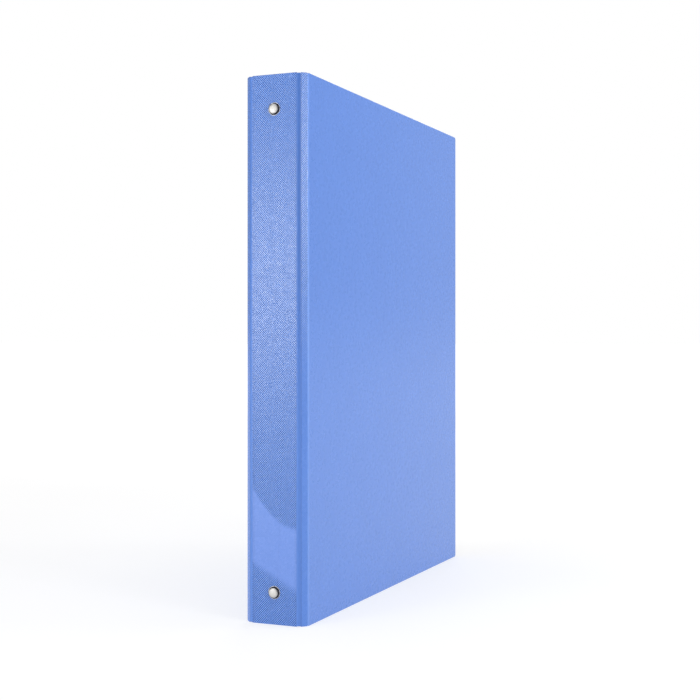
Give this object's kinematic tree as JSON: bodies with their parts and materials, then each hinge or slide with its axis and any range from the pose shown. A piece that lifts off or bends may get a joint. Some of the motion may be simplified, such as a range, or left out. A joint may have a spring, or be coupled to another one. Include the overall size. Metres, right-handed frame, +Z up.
{
  "type": "ring binder",
  "caption": "Upright blue plastic ring binder for A4 sheets, with folding covers and a lever-operated ring mechanism riveted to the spine.",
  "frame": {"origin": "centre of the bounding box at its bottom, between the two covers", "axes": "+Z up along the spine, the binder standing on its bottom edges; the spine faces -Y; the front cover is on +X and the back cover on -X"},
  "size_m": [0.04, 0.2698, 0.32],
  "materials": {
    "cover_polypropylene": "pastel blue polypropylene sheet; the spine is embossed with a fine diamond grain, the covers are nearly smooth",
    "rivet_steel": "polished nickel-plated rivets",
    "post_steel": "turned, zinc-plated",
    "housing_steel": "bright nickel plate over pressed steel",
    "rail_steel": "plain rolled spring steel",
    "ring_wire": "bright nickel-plated wire",
    "lever_steel": "bright nickel plate"
  },
  "bodies": {
    "spine": {"spine_panel": "cover_polypropylene", "front_spine_living_hinge": "cover_polypropylene", "back_spine_living_hinge": "cover_polypropylene", "mechanism_housing": "housing_steel", "top_mounting_post": "post_steel", "bottom_mounting_post": "post_steel", "top_rivet": "rivet_steel", "bottom_rivet": "rivet_steel", "top_lever_pin": "lever_steel", "bottom_lever_pin": "lever_steel"},
    "front_strip": {"front_hinge_strip": "cover_polypropylene", "front_cover_living_hinge": "cover_polypropylene"},
    "front_cover": {"front_cover": "cover_polypropylene"},
    "back_strip": {"back_hinge_strip": "cover_polypropylene", "back_cover_living_hinge": "cover_polypropylene"},
    "back_cover": {"back_cover": "cover_polypropylene"},
    "left_rail": {"left_carrier_rail": "rail_steel", "half_ring_left_1": "ring_wire", "half_ring_left_2": "ring_wire", "half_ring_left_3": "ring_wire", "half_ring_left_4": "ring_wire"},
    "right_rail": {"right_carrier_rail": "rail_steel", "half_ring_right_1": "ring_wire", "half_ring_right_2": "ring_wire", "half_ring_right_3": "ring_wire", "half_ring_right_4": "ring_wire"},
    "top_lever": {"top_lever": "lever_steel"},
    "bottom_lever": {"bottom_lever": "lever_steel"}
  },
  "joints": [
    {"name": "front_spine_fold", "type": "hinge", "parent": "spine", "child": "front_strip", "pos_m": [0.0156, -0.1328, 0.16], "axis": [0, 0, -1], "range_deg": [0, 90], "deforming": ["front_spine_living_hinge"]},
    {"name": "front_cover_fold", "type": "hinge", "parent": "front_strip", "child": "front_cover", "pos_m": [0.01975, -0.12865, 0.16], "axis": [0, 0, -1], "range_deg": [0, 90], "deforming": ["front_cover_living_hinge"]},
    {"name": "back_spine_fold", "type": "hinge", "parent": "spine", "child": "back_strip", "pos_m": [-0.0156, -0.1328, 0.16], "axis": [0, 0, 1], "range_deg": [0, 90], "deforming": ["back_spine_living_hinge"]},
    {"name": "back_cover_fold", "type": "hinge", "parent": "back_strip", "child": "back_cover", "pos_m": [-0.01975, -0.12865, 0.16], "axis": [0, 0, 1], "range_deg": [0, 90], "deforming": ["back_cover_living_hinge"]},
    {"name": "right_rings_open", "type": "hinge", "parent": "spine", "child": "right_rail", "pos_m": [0.0092, -0.12855, 0.1592], "axis": [0, 0, -1], "range_deg": [0, 12]},
    {"name": "left_rings_open", "type": "hinge", "parent": "spine", "child": "left_rail", "pos_m": [-0.0092, -0.12855, 0.1592], "axis": [0, 0, 1], "range_deg": [0, 12]},
    {"name": "top_lever_press", "type": "hinge", "parent": "spine", "child": "top_lever", "pos_m": [0, -0.12855, 0.3082], "axis": [1, 0, 0], "range_deg": [0, 24]},
    {"name": "bottom_lever_press", "type": "hinge", "parent": "spine", "child": "bottom_lever", "pos_m": [0, -0.12855, 0.0102], "axis": [-1, 0, 0], "range_deg": [0, 24]}
  ],
  "couplings": [
    {"joint": "front_spine_fold", "follows": "front_cover_fold", "ratio": 1},
    {"joint": "back_spine_fold", "follows": "back_cover_fold", "ratio": 1},
    {"joint": "left_rings_open", "follows": "right_rings_open", "ratio": 1},
    {"joint": "top_lever_press", "follows": "right_rings_open", "ratio": 2},
    {"joint": "bottom_lever_press", "follows": "right_rings_open", "ratio": 2}
  ]
}
